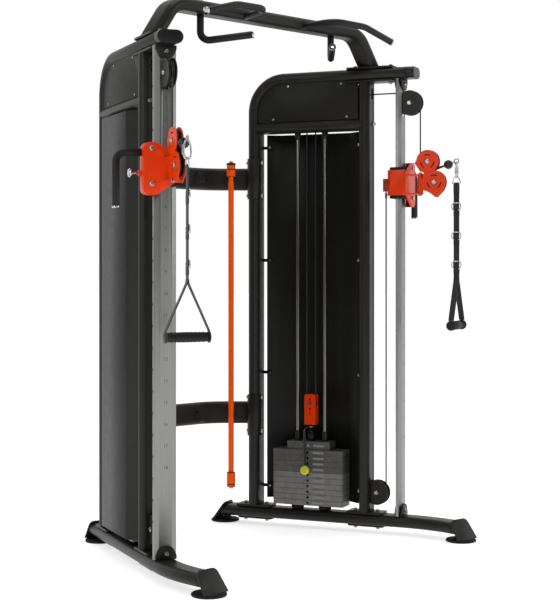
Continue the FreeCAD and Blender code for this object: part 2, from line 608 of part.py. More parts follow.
def swivel_plate(v0):
    """One cheek: two overlapping lobes with a guard tip on each, a web to the hinge, and three curved slots round each axle."""
    rv = FreeCAD.Rotation(V(1, 0, 0), 90)
    parts = [cyl("dims.lobe_radius", "dims.lobe_thick", (c[0], v0, c[2]), "v") for c in (SUP, SLP)]
    for poly in ([(907, 1606, 3), (945, 1655), (985, 1600), (935, 1566)], [(1004, 1455, 3), (1038, 1488), (1010, 1530), (955, 1493)],
                 [(936, 1489), (946, 1486), (975, 1480), (1020, 1500), (1000, 1570), (952, 1576), (946, 1541), (936, 1538)]):
        parts.append(pad([poly], "dims.lobe_thick", (0, v0 + D["lobe_thick"], 0), rv))
    slots = []
    for c in (SUP, SLP):
        for k in range(3):
            a0 = math.radians(62 + 120 * k)
            ring = []
            for rr, rng in ((32, range(0, 9)), (27, range(8, -1, -1))):
                for i in rng:
                    a = a0 + math.radians(56) * i / 8
                    ring.append((c[0] + rr * math.cos(a), c[2] + rr * math.sin(a)))
            slots.append(pad([ring], 12, (0, v0 + 8, 0), rv))
        slots.append(cyl("dims.axle_radius", 12, (c[0], v0 - 4, c[2]), "v"))
    return cut(fuse(parts), slots)


barrel = cyl(12.5, 74.4, (HINGE, 0, 1476.3))
web = box((HINGE, -10, 1492), (948, 10, 1536))
core = cut(fuse([barrel, web]), [cyl(6.08, 100, (HINGE, 0, 1460))])
sw_parts = [core, swivel_plate(-14), swivel_plate(10)]
for c in (SUP, SLP):
    sw_parts.append(cyl("dims.axle_radius", 28, (c[0], -14, c[2]), "v"))
    sw_parts.append(turn([(0, 0), (10, 0), (10, 4), (7, 7), (0, 7)], (c[0], 14, c[2]), "v"))
    sw_parts.append(turn([(0, -7), (7, -7), (10, -4), (10, 0), (0, 0)], (c[0], -14, c[2]), "v"))
per_side("swivel_bracket", compound(sw_parts))
per_side("swivel_pulley_upper", sheave(SUP, 44, 35, 18, AX))
per_side("swivel_pulley_lower", sheave(SLP, 44, 35, 18, AX))

# ---------------------------------------------------------------- cable end, strap and grip
RISE = math.radians(20)
BALL = (1056, 0, 1595)
cd_ = (math.cos(RISE), 0, math.sin(RISE))
stub = feature(Part.makeCylinder(3, 34, V(BALL[0] - cd_[0] * 53, 0, BALL[2] - cd_[2] * 53), V(*cd_)))
ball = turn([(0, -20), (4, -19.6), (14, -14.3), (19, -6.2), (20, 0), (19, 6.2), (14, 14.3), (4, 19.6), (0, 20)], BALL)
neck = feature(Part.makeCylinder(5, 8, V(BALL[0] + cd_[0] * 19.6, 0, BALL[2] + cd_[2] * 19.6), V(*cd_)))
RING = (1092, 0, 1608)
ring = feature(Part.makeTorus(10, 2.8, V(*RING), V(0, 1, 0)))
eye = fuse([neck, ring])
per_side("cable_end", compound([stub, ball, eye]))


def loop(top, low, half, bend, r, at_u, in_v=True):
    """A closed round-wire link with straight sides and rounded corners, in the v-z plane or the u-z plane."""
    def q(a, z):
        return V(at_u, a, z) if in_v else V(at_u + a, 0, z)
    k, m = bend, bend * (1 - math.sqrt(0.5))
    h = half
    e = [Part.LineSegment(q(h, low + k), q(h, top - k)).toShape(), Part.Arc(q(h, top - k), q(h - m, top - m), q(h - k, top)).toShape(),
         Part.LineSegment(q(h - k, top), q(k - h, top)).toShape(), Part.Arc(q(k - h, top), q(m - h, top - m), q(-h, top - k)).toShape(),
         Part.LineSegment(q(-h, top - k), q(-h, low + k)).toShape(), Part.Arc(q(-h, low + k), q(m - h, low + m), q(k - h, low)).toShape(),
         Part.LineSegment(q(k - h, low), q(h - k, low)).toShape(), Part.Arc(q(h - k, low), q(h - m, low + m), q(h, low + k)).toShape()]
    w = Part.Wire(e)
    prof = Part.Wire([Part.makeCircle(r, q(h, low + k), V(0, 0, 1))])
    s = w.makePipeShell([prof], True, False)
    expect = math.pi * r * r * w.Length
    if abs(s.Volume - expect) > 0.03 * expect:
        raise RuntimeError("link volume")
    return s


SX = 1092
carab = loop(1605, 1536, 13, 9, 3.4, SX)
dring = loop(1543, 1519, 15, 6, 2.4, SX, False)
web_top, split, grip_z = 1516.5, 1100, 908
strap = [feature(carab), feature(dring), box((SX - 12.5, -1.8, split), (SX + 12.5, 1.8, web_top))]
gh = D["handgrip_long"] / 2
for s in (1, -1):
    a, b = V(SX, 1.8 * s, split + 8), V(SX, s * (gh + 3), grip_z + 19.2)
    d = b - a
    leg = Part.makeBox(25, 3, d.Length)
    leg.translate(V(-12.5, 0 if s > 0 else -3, 0))
    leg.rotate(V(0, 0, 0), V(1, 0, 0), -math.degrees(math.atan2(d.y, d.z)))
    leg.translate(a)
    leg = leg.cut(slab((SX - 40, -1.8, split - 400), (SX + 40, 1.8, web_top))).cut(slab((SX - 40, -200, grip_z - 50), (SX + 40, 200, grip_z + 19)))
    strap.append(feature(leg))
per_side("hand_strap", compound(strap))
per_side("hand_grip", compound([turn([(0, -gh), (D["handgrip_radius"] - 2, -gh), (D["handgrip_radius"], -gh + 8), (D["handgrip_radius"] + 1.5, 0), (D["handgrip_radius"], gh - 8), (D["handgrip_radius"] - 2, gh), (0, gh)], (SX, 0, grip_z), "v"),
                                turn([(0, gh), (17, gh), (19, gh + 1.5), (19, gh + 5), (17, gh + 6.5), (0, gh + 6.5)], (SX, 0, grip_z), "v"),
                                turn([(0, -gh - 6.5), (17, -gh - 6.5), (19, -gh - 5), (19, -gh - 1.5), (17, -gh), (0, -gh)], (SX, 0, grip_z), "v")]))

# ---------------------------------------------------------------- cables held by the machine
upper = round_sweep([(640, 0, 1911), (HINGE, 0, 1911), (HINGE, 0, 1612)], 45, 3)
lower = round_sweep([(775, 0, 1485), (775, 0, 133), (711, 0, 133)], 40, 3)
per_side("column_cable", compound([feature(upper), feature(lower)]))
zc = D["cross_mid"] - 25
lift = round_sweep([(SU - 21, SV, zc), (SU - 21, SV, 526.5), (SU + 21, SV, 526.5), (SU + 21, SV, zc)], 20.999, 3)
per_side("stack_cable", feature(lift))

# ---------------------------------------------------------------- rear cross bars and saddles
wide = (0, 0, 1)
bars = []
sad = []
for zc, z0, z1 in ((1554, 1463, 1644), (497, 398, 582)):
    k = 300
    pts = [plan(-283.4 - k, -25 + k, zc), plan(-283.4, -25, zc), plan(283.4, -25, zc), plan(283.4 + k, -25 + k, zc)]
    solid = flat_sweep(pts, 184, wide)
    tools = []
    for m in (1, -1):
        c = V(D["rear_half"] + RU * math.sin(ANG), D["plan_back"] - RU * math.cos(ANG), 0)
        far = Part.makeBox(700, 1400, 400, V(-12, -700, zc - 200))
        far.Placement = FreeCAD.Placement(V(c.x, c.y, 0), FreeCAD.Rotation(V(0, 0, 1), 45 - 90)).multiply(far.Placement)
        tool = pad([], 300, (0, 0, 0), slot=[(TW + 12, TT + 12, "dims.tube_wide - dims.tube_thin", "dims.tube_thin / 2 + 6")])
        doc.recompute()
        t = tool.Shape.copy()
        t.Placement = TOWER.multiply(FreeCAD.Placement(V(RU, 0, zc - 150), FreeCAD.Rotation()))
        parts = [far, t]
        if m < 0:
            parts = [p.mirror(V(0, 0, 0), V(1, 0, 0)) for p in parts]
        tools += parts
    for t in tools:
        solid = solid.cut(t)
    best = max(solid.Solids, key=lambda q: q.Volume)
    bars.append(feature(best))
    ring_ = pad([], z1 - z0, (RU, 0, z0), slot=[(TW + 12, TT + 12, "dims.tube_wide - dims.tube_thin", "dims.tube_thin / 2 + 6"), SLOT_OUT])
    sad.append(cut(ring_, [box((RU - 60, 6, z0 - 5), (RU + 60, 80, z1 + 5))]))
single("rear_crossbars", compound(bars))
both("crossbar_saddles", compound(sad))

# ---------------------------------------------------------------- accessory hooks and staff cradles on the cross bars
hooks = []
for z in (1575, 505):
    hooks.append(feature(round_sweep([plan(182, 0, z), plan(182, 22, z), plan(182, 22, z - 34), plan(182, 44, z - 34), plan(182, 44, z - 16)], [8, 8, 8], 4)))
cr = []
CP = FreeCAD.Placement(V(287, D["plan_back"] - 115, 0), FreeCAD.Rotation(V(0, 0, 1), 225))
for z0 in (1528, 484):
    blk = fuse([box((-71.4, -9, z0), (-14, 9, z0 + 26)), box((-16.8, -16.8, z0), (9, 16.8, z0 + 26))])
    c1 = cut(blk, [cyl(12.7, 40, (0, 0, z0 - 5)), box((0, -12.7, z0 - 5), (30, 12.7, z0 + 40))])
    c1.Placement = CP
    cr.append(c1)
left_hooks = [feature(h.Shape.mirror(V(0, 0, 0), V(1, 0, 0))) for h in hooks]
single("accessory_hooks", compound(hooks + left_hooks + cr))

body_ = turn([(0, 165), (9, 165), (9, 172), (18, 172), (19.5, 174), (19.5, 183), (18.6, 184), (18.6, 187), (19.5, 188), (19.5, 236), (18, 239), (12.5, 239), (12.5, 1561), (18, 1561), (19.5, 1564), (19.5, 1590), (18.6, 1591), (18.6, 1594), (19.5, 1595),
              (19.5, 1612), (20.5, 1613), (20.5, 1621), (18, 1622), (9, 1622), (9, 1629), (7, 1631), (0, 1631)], (0, 0, 0))
body_.Placement = FreeCAD.Placement(V(287, D["plan_back"] - 115, 0), FreeCAD.Rotation())
single("exercise_bar", body_)

# ---------------------------------------------------------------- arch, pull-up bars and neutral grips
AF = 645
ax, az = 617, 2029
cx, cz = 523, 2163
ex = (ax - cx) / (cz - az)
low = az - 60
arch = flat_sweep([plan(-(cx + ex * (cz - low)), AF, low), plan(-cx, AF, cz), plan(cx, AF, cz), plan(cx + ex * (cz - low), AF, low)], 95, (0, 1, 0))
arch = arch.cut(slab((-900, -400, low - 200), (900, 400, az)))
single("pull_up_arch", feature(arch))
fz = AF + TW / 2
bar = round_sweep([plan(164, fz - 14, 2151.5), plan(192, 834, 2159), plan(365, 846, 2154), plan(523, 851, 2110)], [70, 160], 13.5)
bar = bar.cut(flat_sweep([plan(-(cx + ex * (cz - low)), AF, low), plan(-cx, AF, cz), plan(cx, AF, cz), plan(cx + ex * (cz - low), AF, low)], 95, (0, 1, 0), False))
tip = V(*plan(523, 851, 2110))
td = (tip - V(*plan(365, 846, 2154))).normalize()
cap = Part.makeCylinder(14.5, 7, tip, td)
both("pull_up_bars", compound([feature(bar), feature(cap)]), tower=False)
g45 = 202 * math.sqrt(0.5)
gp = round_sweep([plan(372, AF, 2138), plan(372, AF, 2035), plan(372 - g45, AF + g45, 2061)], 34, 14)
gt = V(*plan(372 - g45, AF + g45, 2061))
gd = (gt - V(*plan(372, AF, 2035))).normalize()
both("neutral_grips", compound([feature(gp), feature(Part.makeCylinder(15, 7, gt, gd)), turn([(0, 0), (12, 0), (12, 6), (8, 9), (0, 9)], plan(372, AF, 2188))]), tower=False)

# ---------------------------------------------------------------- bolt heads and nuts of the frame
head_b = doc.addObject("PartDesign::Body", "button_bolt")
hsx = new_sketch(head_b, "XZ_Plane")
for g in edges_of([(0, 0), (D["bolt_radius"], 0), (D["bolt_radius"], 3), (D["bolt_radius"] - 3, D["bolt_height"]), (0, D["bolt_height"])]):
    hsx.addGeometry(g)
rv = head_b.newObject("PartDesign::Revolution", "dome")
rv.Profile = hsx
rv.ReferenceAxis = (hsx, ["V_Axis"])
rv.Angle = 360
doc.recompute()
socket = Part.Face(Part.makePolygon([V(3.6 * math.cos(math.radians(60 * i)), 3.6 * math.sin(math.radians(60 * i)), D["bolt_height"] - 3) for i in range(7)])).extrude(V(0, 0, 10))
master = head_b.Shape.cut(socket)


def bolt(at, axis):
    s = master.copy()
    s.Placement = FreeCAD.Placement(V(*at), FreeCAD.Rotation(V(0, 0, 1), V(*axis)))
    return s


bs = []
for uc in (RU, FU):
    for du in (-52, 52):
        bs.append(bolt((uc + du, 0, BHI + PT), (0, 0, 1)))
        bs.append(bolt((uc + du, 0, BLO - PT), (0, 0, -1)))
for u in (632, 796):
    bs.append(bolt((u, 0, TOPHI + PT), (0, 0, 1)))
    bs.append(bolt((u, 0, TOPLO - PT), (0, 0, -1)))
bs.append(bolt((FU + 25, 14, 1783), (1, 0, 0)))
bs.append(bolt((RU - 25, 0, 1783), (-1, 0, 0)))
for z in (1948, 103):
    bs.append(bolt((CU + cd / 2 + 6, 0, z), (1, 0, 0)))
    bs.append(bolt((CU - cd / 2 - 6, 0, z), (-1, 0, 0)))
for z in (1478, 1627, 418, 570):
    bs.append(bolt((RU + 31, -16, z), (1, 0, 0)))
    bs.append(bolt((RU - 31, -16, z), (-1, 0, 0)))
for u, z in ((328, 1960), (580, 1960), (256, 1815), (606, 1815)):
    for v0, dv in ((-D["panel_pos"] - 2.5 , -1), (D["panel_pos"] + 2.5, 1)):
        s = Part.makeCylinder(5, 2.5, V(u, v0, z), V(0, dv, 0))
        bs.append(s)
both("frame_bolts", feature(Part.makeCompound(bs)))

# ---------------------------------------------------------------- checks and export
doc.recompute()
bad = [o.Label for o in doc.Objects if "Invalid" in o.State or "Error" in o.State]
if bad:
    raise RuntimeError("failed objects: %s" % bad)
for name, o in sorted(nodes.items()):
    sh = o.Shape
    if sh.isNull() or not sh.isValid() or not sh.Solids or sh.Volume <= 0:
        raise RuntimeError("bad shape: %s" % name)
    if any(s.Volume <= 0 or not s.isValid() for s in sh.Solids):
        raise RuntimeError("bad solid in %s" % name)
for name, o in sorted(nodes.items()):
    o.Shape.exportStep("parts/%s.step" % name)
print("%d nodes, %d solids" % (len(nodes), sum(len(o.Shape.Solids) for o in nodes.values())))
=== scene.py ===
import math
import bmesh
import bpy
from mathutils import Matrix, Vector


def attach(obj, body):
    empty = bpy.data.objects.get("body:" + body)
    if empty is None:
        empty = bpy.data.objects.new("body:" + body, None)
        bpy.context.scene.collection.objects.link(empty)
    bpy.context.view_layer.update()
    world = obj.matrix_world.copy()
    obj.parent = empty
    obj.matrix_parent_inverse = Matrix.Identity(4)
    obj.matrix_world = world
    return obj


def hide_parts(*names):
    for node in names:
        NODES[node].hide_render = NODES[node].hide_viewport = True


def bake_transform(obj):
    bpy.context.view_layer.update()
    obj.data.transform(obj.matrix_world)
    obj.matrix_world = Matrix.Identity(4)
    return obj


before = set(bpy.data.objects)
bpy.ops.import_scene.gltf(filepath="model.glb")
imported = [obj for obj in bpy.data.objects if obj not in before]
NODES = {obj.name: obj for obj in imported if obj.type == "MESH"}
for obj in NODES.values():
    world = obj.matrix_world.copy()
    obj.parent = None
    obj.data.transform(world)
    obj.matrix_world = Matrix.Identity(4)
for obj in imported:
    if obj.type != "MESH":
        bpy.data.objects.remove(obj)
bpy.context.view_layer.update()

scene = bpy.context.scene

# ------------------------------------------------------------------ the machine's plan, in metres
SPLAY = math.radians(21.77)
SA, CA = math.sin(SPLAY), math.cos(SPLAY)
RH, YO = 0.3589, 0.5376
SIDES = (("right", 1), ("left", -1))


def W(u, v, z, s=1):
    """Tower coordinates in millimetres (forward, outward, up) to the row frame in metres."""
    x = RH * 1000 + u * SA + v * CA
    f = u * CA - v * SA
    return Vector((s * x / 1000, YO - f / 1000, z / 1000))


def plan(x, f, z):
    return Vector((x / 1000, YO - f / 1000, z / 1000))


def local(p):
    """Row frame to tower coordinates in millimetres, and the side."""
    s = 1 if p.x >= 0 else -1
    x, f = abs(p.x) * 1000 - RH * 1000, (YO - p.y) * 1000
    return x * SA + f * CA, x * CA - f * SA, p.z * 1000, s


# ------------------------------------------------------------------ camera
cam_data = bpy.data.cameras.new("camera")
cam = bpy.data.objects.new("camera", cam_data)
scene.collection.objects.link(cam)
cam.location = (-4.128, YO - 4.840, 1.15)
cam.rotation_euler = (math.radians(90), 0, math.radians(-45))
cam_data.sensor_fit = "HORIZONTAL"
cam_data.sensor_width = 36
cam_data.lens = 92.775
cam_data.shift_y = -31.5 / 560
cam_data.clip_start, cam_data.clip_end = 0.1, 200
scene.camera = cam


# ------------------------------------------------------------------ materials
def nodes_of(name):
    m = bpy.data.materials.new(name)
    m.use_nodes = True
    nt = m.node_tree
    bsdf = nt.nodes["Principled BSDF"]
    return m, nt, bsdf


def link(nt, a, b):
    nt.links.new(a, b)


def coat(name, base, rough, metal=0.0, var=0.25, peel=(900, 0.06), dust=0.03, wear=0.0, wear_col=(0.3, 0.3, 0.3), coat_w=0.0, spec=0.5, blotch=9.0, coords="Object"):
    """A painted or moulded finish: slow blotches in the colour, fine peel in the bump, uneven gloss, and pale worn edges."""
    m, nt, b = nodes_of(name)
    tc = nt.nodes.new("ShaderNodeTexCoord")
    big = nt.nodes.new("ShaderNodeTexNoise")
    big.inputs["Scale"].default_value = blotch
    big.inputs["Detail"].default_value = 6
    link(nt, tc.outputs[coords], big.inputs["Vector"])
    ramp = nt.nodes.new("ShaderNodeValToRGB")
    ramp.color_ramp.elements[0].position, ramp.color_ramp.elements[1].position = 0.3, 0.7
    ramp.color_ramp.elements[0].color = (*[c * (1 - var) for c in base], 1)
    ramp.color_ramp.elements[1].color = (*[min(1, c * (1 + var) + dust * 0.02) for c in base], 1)
    link(nt, big.outputs["Fac"], ramp.inputs["Fac"])
    out = ramp.outputs["Color"]
    if wear:
        geo = nt.nodes.new("ShaderNodeNewGeometry")
        scratch = nt.nodes.new("ShaderNodeTexNoise")
        scratch.inputs["Scale"].default_value = 160
        scratch.inputs["Detail"].default_value = 8
        link(nt, tc.outputs[coords], scratch.inputs["Vector"])
        edge = nt.nodes.new("ShaderNodeMapRange")
        edge.inputs["From Min"].default_value, edge.inputs["From Max"].default_value = 0.52, 0.62
        link(nt, geo.outputs["Pointiness"], edge.inputs["Value"])
        mul = nt.nodes.new("ShaderNodeMath")
        mul.operation = "MULTIPLY"
        link(nt, edge.outputs[0], mul.inputs[0])
        sc = nt.nodes.new("ShaderNodeMapRange")
        sc.inputs["From Min"].default_value, sc.inputs["From Max"].default_value = 0.45, 0.7
        sc.inputs["To Max"].default_value = wear
        link(nt, scratch.outputs["Fac"], sc.inputs["Value"])
        link(nt, sc.outputs[0], mul.inputs[1])
        mix = nt.nodes.new("ShaderNodeMix")
        mix.data_type = "RGBA"
        link(nt, mul.outputs[0], mix.inputs["Factor"])
        link(nt, out, mix.inputs["A"])
        mix.inputs["B"].default_value = (*wear_col, 1)
        out = mix.outputs["Result"]
    link(nt, out, b.inputs["Base Color"])
    gl = nt.nodes.new("ShaderNodeTexNoise")
    gl.inputs["Scale"].default_value = 35
    gl.inputs["Detail"].default_value = 5
    link(nt, tc.outputs[coords], gl.inputs["Vector"])
    mr = nt.nodes.new("ShaderNodeMapRange")
    mr.inputs["To Min"].default_value, mr.inputs["To Max"].default_value = rough * 0.85, min(1, rough * 1.18)
    link(nt, gl.outputs["Fac"], mr.inputs["Value"])
    link(nt, mr.outputs[0], b.inputs["Roughness"])
    fine = nt.nodes.new("ShaderNodeTexNoise")
    fine.inputs["Scale"].default_value = peel[0]
    fine.inputs["Detail"].default_value = 3
    link(nt, tc.outputs[coords], fine.inputs["Vector"])
    bump = nt.nodes.new("ShaderNodeBump")
    bump.inputs["Strength"].default_value = peel[1]
    bump.inputs["Distance"].default_value = 0.001
    link(nt, fine.outputs["Fac"], bump.inputs["Height"])
    link(nt, bump.outputs["Normal"], b.inputs["Normal"])
    b.inputs["Metallic"].default_value = metal
    b.inputs["Specular IOR Level"].default_value = spec
    if coat_w:
        b.inputs["Coat Weight"].default_value = coat_w
        b.inputs["Coat Roughness"].default_value = 0.12
    return m


def brushed(name, base, rough, stretch=(3, 3, 900), strength=0.08, metal=1.0, aniso=0.0):
    """Drawn or polished metal: long fine streaks along one axis in the colour, gloss and bump."""
    m, nt, b = nodes_of(name)
    tc = nt.nodes.new("ShaderNodeTexCoord")
    mp = nt.nodes.new("ShaderNodeMapping")
    mp.inputs["Scale"].default_value = stretch
    link(nt, tc.outputs["Object"], mp.inputs["Vector"])
    n = nt.nodes.new("ShaderNodeTexNoise")
    n.inputs["Scale"].default_value = 1.0
    n.inputs["Detail"].default_value = 6
    link(nt, mp.outputs[0], n.inputs["Vector"])
    ramp = nt.nodes.new("ShaderNodeValToRGB")
    ramp.color_ramp.elements[0].position, ramp.color_ramp.elements[1].position = 0.25, 0.75
    ramp.color_ramp.elements[0].color = (*[c * 0.82 for c in base], 1)
    ramp.color_ramp.elements[1].color = (*[min(1, c * 1.12) for c in base], 1)
    link(nt, n.outputs["Fac"], ramp.inputs["Fac"])
    link(nt, ramp.outputs["Color"], b.inputs["Base Color"])
    mr = nt.nodes.new("ShaderNodeMapRange")
    mr.inputs["To Min"].default_value, mr.inputs["To Max"].default_value = rough * 0.8, rough * 1.25
    link(nt, n.outputs["Fac"], mr.inputs["Value"])
    link(nt, mr.outputs[0], b.inputs["Roughness"])
    bump = nt.nodes.new("ShaderNodeBump")
    bump.inputs["Strength"].default_value = strength
    bump.inputs["Distance"].default_value = 0.0006
    link(nt, n.outputs["Fac"], bump.inputs["Height"])
    link(nt, bump.outputs["Normal"], b.inputs["Normal"])
    b.inputs["Metallic"].default_value = metal
    b.inputs["Anisotropic"].default_value = aniso
    return m


def weave(name, base, scale=(900, 900, 900), rough=0.85, strength=0.6):
    """Woven webbing: two crossed wave bands make the ribs of the weave, and the colour follows them: painted shade in
    the grooves, painted highlight on the ribs.
    """
    m, nt, b = nodes_of(name)
    tc = nt.nodes.new("ShaderNodeTexCoord")
    waves = []
    for d, sc in (("Z", scale[0]), ("X", scale[1])):
        w = nt.nodes.new("ShaderNodeTexWave")
        w.bands_direction = d
        w.inputs["Scale"].default_value = sc / 6.283
        w.inputs["Distortion"].default_value = 0.4
        link(nt, tc.outputs["Object"], w.inputs["Vector"])
        waves.append(w)
    mul = nt.nodes.new("ShaderNodeMath")
    mul.operation = "MULTIPLY"
    link(nt, waves[0].outputs["Fac"], mul.inputs[0])
    link(nt, waves[1].outputs["Fac"], mul.inputs[1])
    # painted shade and highlight: the colour is darkened in the weave's grooves and lightened on its ribs
    ramp = nt.nodes.new("ShaderNodeValToRGB")
    ramp.color_ramp.elements[0].color = (*[c * 0.5 for c in base], 1)
    ramp.color_ramp.elements[1].color = (*[c * 1.9 for c in base], 1)
    link(nt, mul.outputs[0], ramp.inputs["Fac"])
    link(nt, ramp.outputs["Color"], b.inputs["Base Color"])
    bump = nt.nodes.new("ShaderNodeBump")
    bump.inputs["Strength"].default_value = strength
    bump.inputs["Distance"].default_value = 0.0008
    link(nt, mul.outputs[0], bump.inputs["Height"])
    link(nt, bump.outputs["Normal"], b.inputs["Normal"])
    b.inputs["Roughness"].default_value = rough
    b.inputs["Sheen Weight"].default_value = 0.25
    return m


FRAME = coat("frame_powder_coat", (0.0120, 0.0113, 0.0095), 0.40, var=0.12, peel=(1400, 0.10), wear=0.08, wear_col=(0.07, 0.066, 0.058), spec=0.22)
PANEL = coat("panel_powder_coat", (0.0085, 0.0080, 0.0068), 0.48, var=0.10, peel=(1600, 0.12), wear=0.05, wear_col=(0.05, 0.05, 0.05), spec=0.2)
SHROUD = coat("shroud_powder_coat", (0.0080, 0.0077, 0.0070), 0.40, var=0.10, peel=(1600, 0.10), wear=0.05, wear_col=(0.05, 0.05, 0.05), spec=0.16)
ORANGE = coat("orange_powder_coat", (0.66, 0.034, 0.0004), 0.32, var=0.06, peel=(1100, 0.08), dust=0.0, wear=0.12, wear_col=(0.90, 0.20, 0.06), coat_w=0.05, spec=0.14)
STAFF_OR = coat("staff_orange_coat", (1.0, 0.105, 0.0008), 0.38, var=0.03, peel=(900, 0.08), dust=0.0, wear=0.08, wear_col=(0.95, 0.35, 0.12), coat_w=0.04, spec=0.16)
DARKRED = coat("anchor_red_coat", (0.30, 0.020, 0.004), 0.4, var=0.1, peel=(1000, 0.1))
IRON = coat("weight_plate_paint", (0.142, 0.140, 0.130), 0.46, var=0.22, peel=(520, 0.35), wear=0.35, wear_col=(0.30, 0.30, 0.29), blotch=24)
IRON_DARK = coat("head_plate_paint", (0.060, 0.059, 0.056), 0.5, var=0.2, peel=(520, 0.3), wear=0.3, wear_col=(0.22, 0.22, 0.21), blotch=24)
RUBBER = coat("black_rubber", (0.0085, 0.0085, 0.0085), 0.72, var=0.25, peel=(700, 0.35), spec=0.2)
GRIP = coat("grip_rubber", (0.0065, 0.0065, 0.0062), 0.45, var=0.2, peel=(420, 0.4), spec=0.25)
PLASTIC = coat("black_nylon", (0.0060, 0.0060, 0.0060), 0.32, var=0.2, peel=(900, 0.12), spec=0.28)
BALLP = coat("ball_rubber", (0.0060, 0.0060, 0.0060), 0.22, var=0.2, peel=(900, 0.08), coat_w=0.1, spec=0.3)
YELLOW = coat("yellow_knob", (0.62, 0.57, 0.012), 0.34, var=0.06, peel=(800, 0.1), coat_w=0.3)
CABLE = coat("cable_nylon", (0.0080, 0.0080, 0.0080), 0.35, var=0.2, peel=(1500, 0.2))
LABEL = coat("label_print", (0.21, 0.21, 0.20), 0.5, var=0.15, peel=(1500, 0.05), blotch=200)
INK = coat("ink_print", (0.035, 0.035, 0.035), 0.6, var=0.1, peel=(1500, 0.05))
ALU = brushed("column_aluminium", (0.25, 0.255, 0.245), 0.36, stretch=(1400, 1400, 4), strength=0.10)
CHROME = brushed("polished_chrome", (0.55, 0.55, 0.55), 0.14, stretch=(200, 200, 60), strength=0.02)
STEEL = brushed("zinc_steel", (0.36, 0.36, 0.35), 0.30, stretch=(300, 300, 300), strength=0.05)
ROD = brushed("guide_rod_steel", (0.17, 0.165, 0.155), 0.30, stretch=(500, 500, 8), strength=0.04)
WEB = weave("nylon_webbing", (0.011, 0.011, 0.011), (2600, 3600, 1))
# dark band material for the gaps between weight plates: painted shadow
JOINT_SHADE = coat("plate_joint_shadow", (0.022, 0.022, 0.021), 0.6, var=0.2, peel=(800, 0.1))
HOLE = coat("dark_bore", (0.003, 0.003, 0.003), 0.8, var=0.1, peel=(800, 0.1))


# ------------------------------------------------------------------ CAD nodes: finish, edges, islands
def islands(obj):
    """Connected pieces of a mesh, vertices at one place counted as one: [(polygon indices, low, high)]."""
    me = obj.data
    key, ids = {}, []
    for v in me.vertices:
        k = (round(v.co.x * 1e5), round(v.co.y * 1e5), round(v.co.z * 1e5))
        ids.append(key.setdefault(k, len(key)))
    parent = list(range(len(key)))

    def find(a):
        while parent[a] != a:
            parent[a] = parent[parent[a]]
            a = parent[a]
        return a

    for p in me.polygons:
        vs = [ids[i] for i in p.vertices]
        for b in vs[1:]:
            ra, rb = find(vs[0]), find(b)
            if ra != rb:
                parent[ra] = rb
    groups = {}
    for p in me.polygons:
        groups.setdefault(find(ids[p.vertices[0]]), []).append(p.index)
    out = []
    for polys in groups.values():
        vs = {i for q in polys for i in me.polygons[q].vertices}
        lo = Vector((min(me.vertices[i].co[k] for i in vs) for k in range(3)))
        hi = Vector((max(me.vertices[i].co[k] for i in vs) for k in range(3)))
        out.append((polys, lo, hi))
    return out


def finish_node(name, mat, bevel=0.0012, rules=None, seg=2):
    o = NODES[name]
    o.data.materials.clear()
    o.data.materials.append(mat)
    if rules:
        slots = {mat.name: 0}
        for polys, lo, hi in islands(o):
            m = rules((lo + hi) / 2, hi - lo) or mat
            if m.name not in slots:
                slots[m.name] = len(o.data.materials)
                o.data.materials.append(m)
            for q in polys:
                o.data.polygons[q].material_index = slots[m.name]
    else:
        for p in o.data.polygons:
            p.material_index = 0
    for p in o.data.polygons:
        p.use_smooth = True
    if bevel:
        weld = o.modifiers.new("weld", "WELD")
        weld.merge_threshold = 0.00002
        bv = o.modifiers.new("bevel", "BEVEL")
        bv.width, bv.segments = bevel, seg
        bv.limit_method, bv.angle_limit = "ANGLE", math.radians(38)
        bv.harden_normals = True
        bv.use_clamp_overlap = True
        bv.miter_outer = "MITER_ARC"
    return o


def rule_of(fn):
    def f(c, d):
        u, v, z, s = local(c)
        return fn(u, v, z, d * 1000)
    return f


finish_node("base_tubes", FRAME)
finish_node("foot_end_plates", FRAME)
finish_node("foot_pads", RUBBER)
finish_node("rear_uprights", FRAME)
finish_node("front_uprights", FRAME)
finish_node("tower_crossmembers", FRAME)
finish_node("side_panels", PANEL, 0.0006)
finish_node("adjust_columns", ALU, 0.0006)
finish_node("column_brackets", FRAME)
finish_node("shrouds", SHROUD, 0.0006, rule_of(lambda u, v, z, d: STEEL if d.z < 13 and d.x < 16 else None))
finish_node("guide_rods", ROD, 0.0005, rule_of(lambda u, v, z, d: PLASTIC if d.z < 60 else None))
finish_node("stack_bumpers", RUBBER)
finish_node("lower_plates", IRON, 0)
finish_node("rear_crossbars", FRAME)
finish_node("crossbar_saddles", FRAME)
finish_node("accessory_hooks", FRAME, 0.0006)
finish_node("pull_up_arch", FRAME)
finish_node("flange_plates", FRAME, 0.0015)
finish_node("pull_up_bars", GRIP, 0.001, lambda c, d: CHROME if d.x < 0.03 else None)
finish_node("neutral_grips", GRIP, 0.001, lambda c, d: STEEL if c.z > 2.18 else (CHROME if d.x < 0.04 and d.z < 0.04 else None))
finish_node("frame_bolts", STEEL, 0.0005)
finish_node("pulley_brackets", FRAME, 0, rule_of(lambda u, v, z, d: STEEL if d.z < 30 else None))
finish_node("top_tube_caps", PLASTIC, 0.003, seg=3)
bar = finish_node("exercise_bar", STAFF_OR, 0)
bar.data.materials.append(PLASTIC)
bar.data.materials.append(CHROME)
for p in bar.data.polygons:
    z = p.center.z * 1000
    if z > 1622.5 or z < 171.5:
        p.material_index = 2
    elif z > 1611.5 or 1590.4 < z < 1594.6 or 1556 < z < 1562.5 or 183.2 < z < 187.8 or 236.5 < z < 240 or z < 174.5:
        p.material_index = 1
